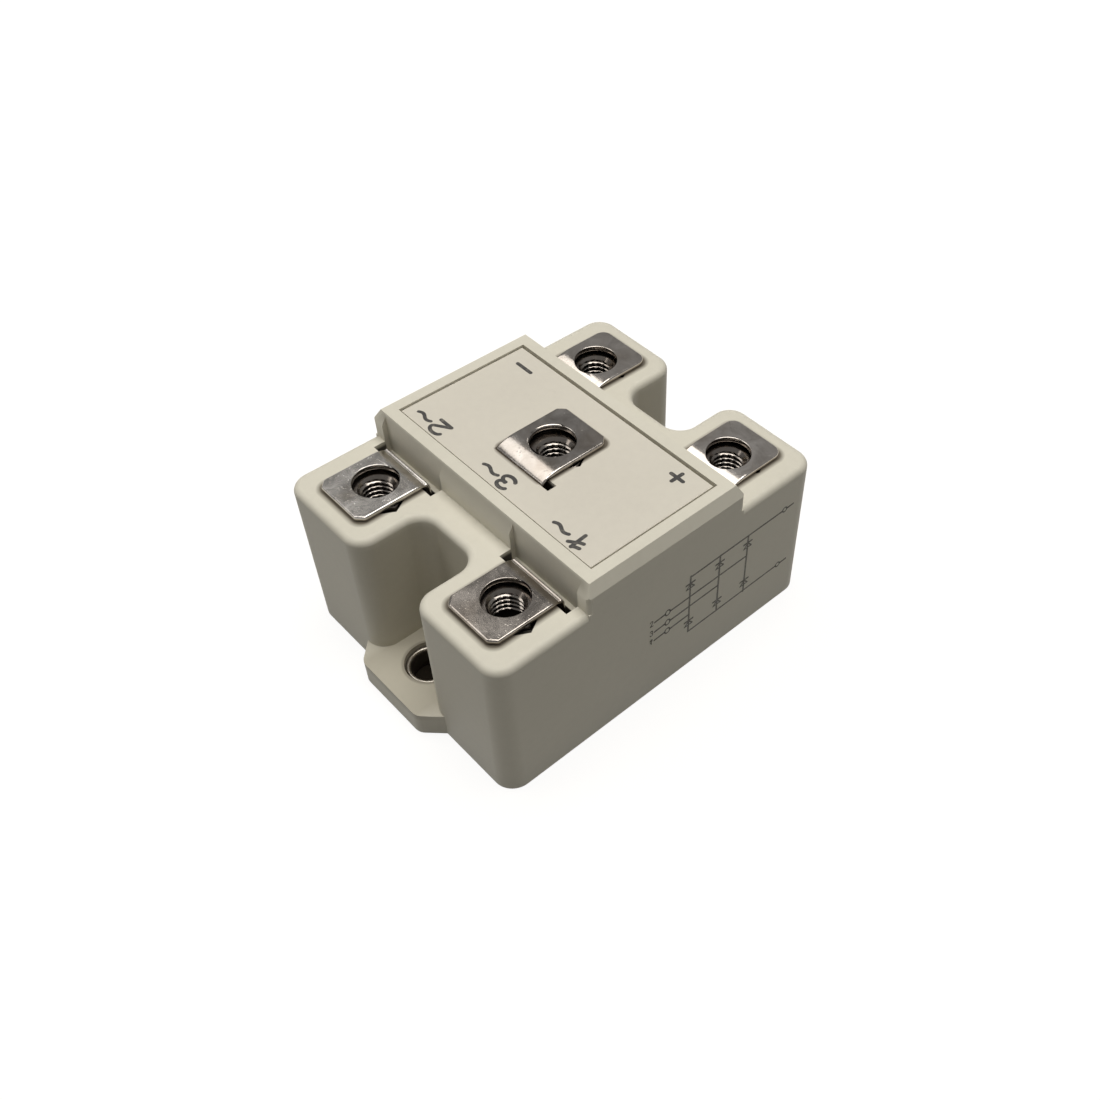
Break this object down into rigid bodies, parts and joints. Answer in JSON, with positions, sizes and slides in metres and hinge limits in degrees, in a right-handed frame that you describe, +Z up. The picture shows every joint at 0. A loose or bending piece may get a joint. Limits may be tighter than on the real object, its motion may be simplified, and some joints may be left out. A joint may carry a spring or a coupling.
{
  "type": "three-phase bridge rectifier module",
  "caption": "Moulded power module that turns three-phase alternating current into direct current, with bent screw terminals, captive nuts and notched mounting lugs.",
  "frame": {"origin": "centre of the mounting face, on the underside of the base plate", "axes": "+X along the line of the two mounting holes towards the positive and negative terminals, +Y along the raised bar away from the printed side, +Z up"},
  "size_m": [0.0624, 0.0456, 0.0304],
  "materials": {
    "housing": "fine matt moulded surface",
    "top_panel": "fine matt moulded surface",
    "plated_terminal": "nickel plated copper sheet",
    "plated_nut": "plated steel",
    "bush_metal": "plated steel tube",
    "base_metal": "nickel plated copper, lapped",
    "copper": "bare copper",
    "ceramic": "sintered white alumina",
    "silicon": "metallised silicon",
    "gel": "clear soft filling"
  },
  "bodies": {
    "root": {"housing": "housing", "top_panel": "top_panel", "base_plate": "base_metal", "mounting_bush_left": "bush_metal", "mounting_bush_right": "bush_metal", "terminal_ac1": "plated_terminal", "terminal_ac2": "plated_terminal", "terminal_ac3": "plated_terminal", "terminal_plus": "plated_terminal", "terminal_minus": "plated_terminal", "nut_ac1": "plated_nut", "nut_ac2": "plated_nut", "nut_ac3": "plated_nut", "nut_plus": "plated_nut", "nut_minus": "plated_nut", "substrate_copper": "copper", "ceramic_substrate": "ceramic", "island_plus": "copper", "island_minus": "copper", "island_ac1": "copper", "island_ac2": "copper", "island_ac3": "copper", "diode_high_1": "silicon", "diode_high_2": "silicon", "diode_high_3": "silicon", "diode_low_1": "silicon", "diode_low_2": "silicon", "diode_low_3": "silicon", "clip_high_1": "copper", "clip_high_2": "copper", "clip_high_3": "copper", "clip_low_1": "copper", "clip_low_2": "copper", "clip_low_3": "copper", "silicone_gel": "gel"}
  },
  "joints": []
}
